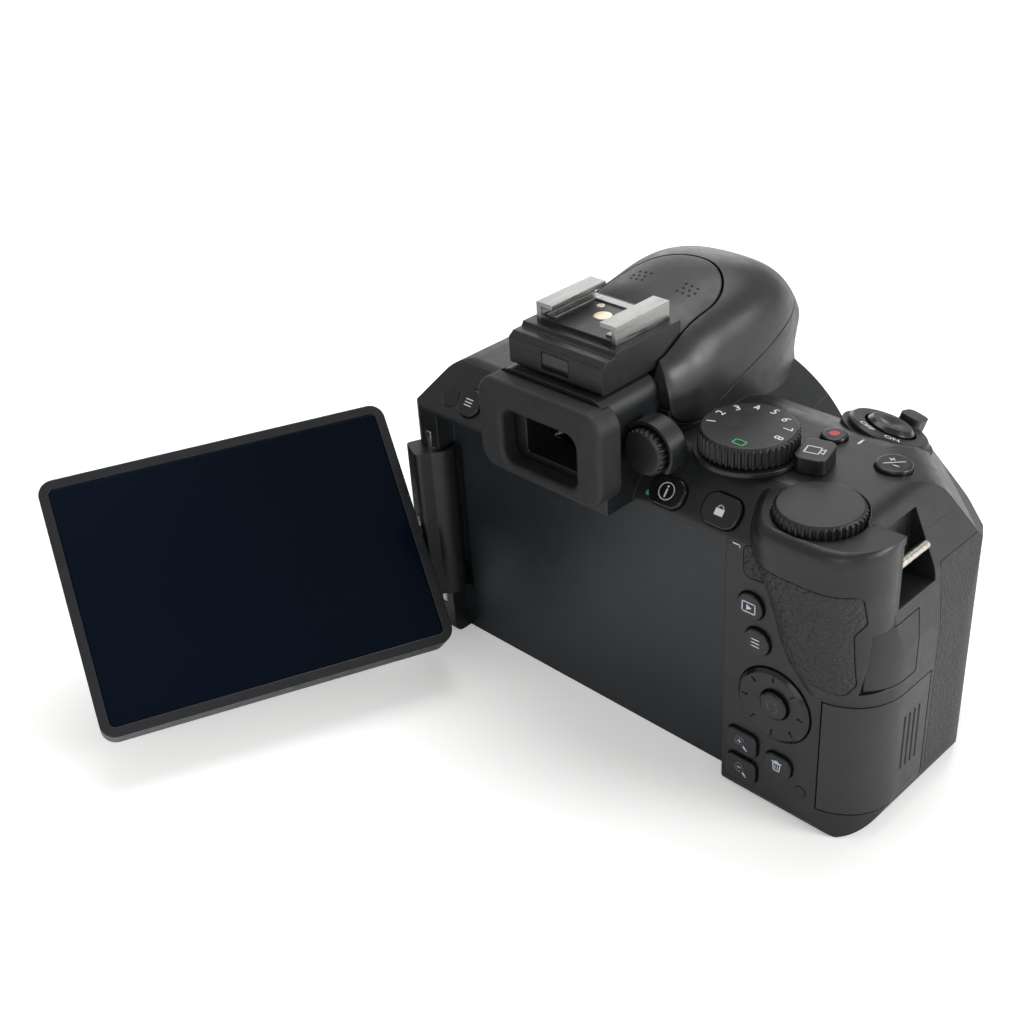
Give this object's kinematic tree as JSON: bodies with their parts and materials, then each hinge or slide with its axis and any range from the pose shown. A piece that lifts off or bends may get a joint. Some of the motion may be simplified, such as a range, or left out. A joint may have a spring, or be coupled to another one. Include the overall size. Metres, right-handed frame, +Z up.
{
  "type": "camera body",
  "caption": "Single-lens reflex camera body with a side-hinged swivel screen, viewfinder hump, pop-up flash, dials and grip.",
  "frame": {"origin": "mouth of the tripod socket, in the base under the lens axis", "axes": "+Z up, +Y out of the lens mount, +X towards the grip; the rear panel and screen face -Y"},
  "size_m": [0.1739, 0.1465, 0.097],
  "materials": {
    "cover_plastic": "satin speckled",
    "grip_skin": "grained",
    "bezel_plastic": "gloss",
    "display_glass": "polished",
    "control_plastic": "satin",
    "button_gloss": "gloss",
    "bright_steel": "bright",
    "gold_contact": "plated",
    "clear_glass": "clear",
    "mirror_face": "mirror",
    "circuit": "lacquered"
  },
  "bodies": {
    "camera_body": {"rear_cover": "cover_plastic", "top_cover": "cover_plastic", "front_cover": "cover_plastic", "bottom_cover": "cover_plastic", "eyecup": "grip_skin", "eyepiece_lens": "clear_glass", "shoe_block": "cover_plastic", "shoe_rails": "bright_steel", "shoe_contacts": "gold_contact", "shoe_spring": "bright_steel", "signal_windows": "clear_glass", "mirror_box": "bezel_plastic", "lens_mount_ring": "bright_steel", "mount_screws": "bright_steel", "focusing_screen": "clear_glass", "finder_prism": "clear_glass", "shutter_unit": "bezel_plastic", "image_sensor": "circuit", "main_board": "circuit", "battery": "bezel_plastic", "memory_card": "bezel_plastic", "tripod_socket": "bright_steel", "strap_bars": "bright_steel", "grip_rubber": "grip_skin", "thumb_rubber": "grip_skin"},
    "hinge_arm": {"hinge_block": "cover_plastic", "hinge_pins": "bright_steel"},
    "screen": {"screen_housing": "cover_plastic", "screen_bezel": "bezel_plastic", "screen_display": "display_glass"},
    "mode_dial": {"mode_dial": "control_plastic"},
    "command_dial": {"command_dial": "control_plastic"},
    "diopter_dial": {"diopter_dial": "control_plastic"},
    "live_view_lever": {"live_view_lever": "control_plastic"},
    "power_switch": {"power_switch": "control_plastic"},
    "shutter_button": {"shutter_button": "button_gloss"},
    "multi_selector": {"multi_selector": "bezel_plastic"},
    "ok_button": {"ok_button": "control_plastic"},
    "playback_button": {"playback_button": "control_plastic"},
    "quick_menu_button": {"quick_menu_button": "control_plastic"},
    "zoom_in_button": {"zoom_in_button": "control_plastic"},
    "zoom_out_button": {"zoom_out_button": "control_plastic"},
    "delete_button": {"delete_button": "control_plastic"},
    "info_button": {"info_button": "control_plastic"},
    "lock_button": {"lock_button": "control_plastic"},
    "menu_button": {"menu_button": "control_plastic"},
    "record_button": {"record_button": "button_gloss"},
    "exposure_button": {"exposure_button": "control_plastic"},
    "release_button": {"release_button": "control_plastic"},
    "function_button": {"function_button": "control_plastic"},
    "flash_button": {"flash_button": "control_plastic"},
    "card_door": {"card_door": "cover_plastic"},
    "video_port_cover": {"video_port_cover": "grip_skin"},
    "left_port_cover": {"left_port_cover": "cover_plastic"},
    "battery_door": {"battery_door": "cover_plastic"},
    "flash_lid": {"flash_lid": "cover_plastic", "flash_head": "bezel_plastic", "flash_window": "clear_glass"},
    "mirror": {"reflex_mirror": "mirror_face", "mirror_holder": "bezel_plastic"}
  },
  "joints": [
    {"name": "screen_hinge", "type": "hinge", "parent": "camera_body", "child": "hinge_arm", "pos_m": [-0.0471, -0.0251, 0.032], "axis": [0, 0, 1], "range_deg": [-67, 30]},
    {"name": "screen_swivel", "type": "hinge", "parent": "hinge_arm", "child": "screen", "pos_m": [-0.0471, -0.0251, 0.032], "axis": [-0.3907, -0.9205, 0], "range_deg": [-135.5, 134.5]},
    {"name": "mode_dial_turn", "type": "hinge", "parent": "camera_body", "child": "mode_dial", "pos_m": [0.0319, -0.0131, 0.075], "axis": [0, 0, 1], "continuous": true},
    {"name": "command_dial_turn", "type": "hinge", "parent": "camera_body", "child": "command_dial", "pos_m": [0.0543, -0.0216, 0.07], "axis": [0, 0, 1], "continuous": true},
    {"name": "diopter_turn", "type": "hinge", "parent": "camera_body", "child": "diopter_dial", "pos_m": [0.0189, -0.027, 0.074], "axis": [0, -1, 0], "range_deg": [-110, 110]},
    {"name": "live_view_lever_turn", "type": "hinge", "parent": "camera_body", "child": "live_view_lever", "pos_m": [0.0319, -0.0131, 0.073], "axis": [0, 0, 1], "range_deg": [0, 12], "stiffness_Nm_per_rad": 0.05},
    {"name": "power_switch_turn", "type": "hinge", "parent": "camera_body", "child": "power_switch", "pos_m": [0.0455, 0.0148, 0.0686], "axis": [0.2, 0.2999, 0.9328], "range_deg": [-35, 0]},
    {"name": "shutter_press", "type": "slide", "parent": "camera_body", "child": "shutter_button", "axis": [-0.2, -0.2999, -0.9328], "range_m": [0, 0.0012], "stiffness_N_per_m": 250},
    {"name": "multi_selector_tilt", "type": "hinge", "parent": "camera_body", "child": "multi_selector", "pos_m": [0.05, -0.0258, 0.0273], "axis": [1, 0, 0], "range_deg": [-1.5, 1.5], "stiffness_Nm_per_rad": 0.1},
    {"name": "ok_press", "type": "slide", "parent": "camera_body", "child": "ok_button", "axis": [0, 1, 0], "range_m": [0, 0.0005], "stiffness_N_per_m": 300},
    {"name": "playback_press", "type": "slide", "parent": "camera_body", "child": "playback_button", "axis": [0, 1, 0], "range_m": [0, 0.0006], "stiffness_N_per_m": 300},
    {"name": "quick_menu_press", "type": "slide", "parent": "camera_body", "child": "quick_menu_button", "axis": [0, 1, 0], "range_m": [0, 0.0006], "stiffness_N_per_m": 300},
    {"name": "zoom_in_press", "type": "slide", "parent": "camera_body", "child": "zoom_in_button", "axis": [0, 1, 0], "range_m": [0, 0.0006], "stiffness_N_per_m": 300},
    {"name": "zoom_out_press", "type": "slide", "parent": "camera_body", "child": "zoom_out_button", "axis": [0, 1, 0], "range_m": [0, 0.0006], "stiffness_N_per_m": 300},
    {"name": "delete_press", "type": "slide", "parent": "camera_body", "child": "delete_button", "axis": [0, 1, 0], "range_m": [0, 0.0006], "stiffness_N_per_m": 300},
    {"name": "info_press", "type": "slide", "parent": "camera_body", "child": "info_button", "axis": [0, 0.7619, -0.6476], "range_m": [0, 0.0006], "stiffness_N_per_m": 300},
    {"name": "lock_press", "type": "slide", "parent": "camera_body", "child": "lock_button", "axis": [0, 0.7619, -0.6476], "range_m": [0, 0.0006], "stiffness_N_per_m": 300},
    {"name": "menu_press", "type": "slide", "parent": "camera_body", "child": "menu_button", "axis": [0, 0.7619, -0.6476], "range_m": [0, 0.0006], "stiffness_N_per_m": 300},
    {"name": "record_press", "type": "slide", "parent": "camera_body", "child": "record_button", "axis": [0, 0, -1], "range_m": [0, 0.0006], "stiffness_N_per_m": 300},
    {"name": "exposure_press", "type": "slide", "parent": "camera_body", "child": "exposure_button", "axis": [0, 0, -1], "range_m": [0, 0.0006], "stiffness_N_per_m": 300},
    {"name": "release_press", "type": "slide", "parent": "camera_body", "child": "release_button", "axis": [0, -1, 0], "range_m": [0, 0.0007], "stiffness_N_per_m": 300},
    {"name": "function_press", "type": "slide", "parent": "camera_body", "child": "function_button", "axis": [0, -1, 0], "range_m": [0, 0.0006], "stiffness_N_per_m": 300},
    {"name": "flash_press", "type": "slide", "parent": "camera_body", "child": "flash_button", "axis": [0, -1, 0], "range_m": [0, 0.0006], "stiffness_N_per_m": 300},
    {"name": "flash_lid_hinge", "type": "hinge", "parent": "camera_body", "child": "flash_lid", "pos_m": [0, -0.01, 0.0815], "axis": [1, 0, 0], "range_deg": [0, 62]},
    {"name": "mirror_hinge", "type": "hinge", "parent": "camera_body", "child": "mirror", "pos_m": [0, -0.008, 0.051], "axis": [1, 0, 0], "range_deg": [0, 45]},
    {"name": "card_door_hinge", "type": "hinge", "parent": "camera_body", "child": "card_door", "pos_m": [0.0703, -0.006, 0.02], "axis": [0, 0, 1], "range_deg": [0, 90]},
    {"name": "video_cover_hinge", "type": "hinge", "parent": "camera_body", "child": "video_port_cover", "pos_m": [0.0706, -0.0123, 0.044], "axis": [0, 0, 1], "range_deg": [0, 90]},
    {"name": "left_cover_hinge", "type": "hinge", "parent": "camera_body", "child": "left_port_cover", "pos_m": [-0.0526, 0.0024, 0.032], "axis": [0, 0, -1], "range_deg": [0, 90]},
    {"name": "battery_door_hinge", "type": "hinge", "parent": "camera_body", "child": "battery_door", "pos_m": [0.0458, 0.006, 0.0005], "axis": [0, 1, 0], "range_deg": [0, 90]}
  ]
}
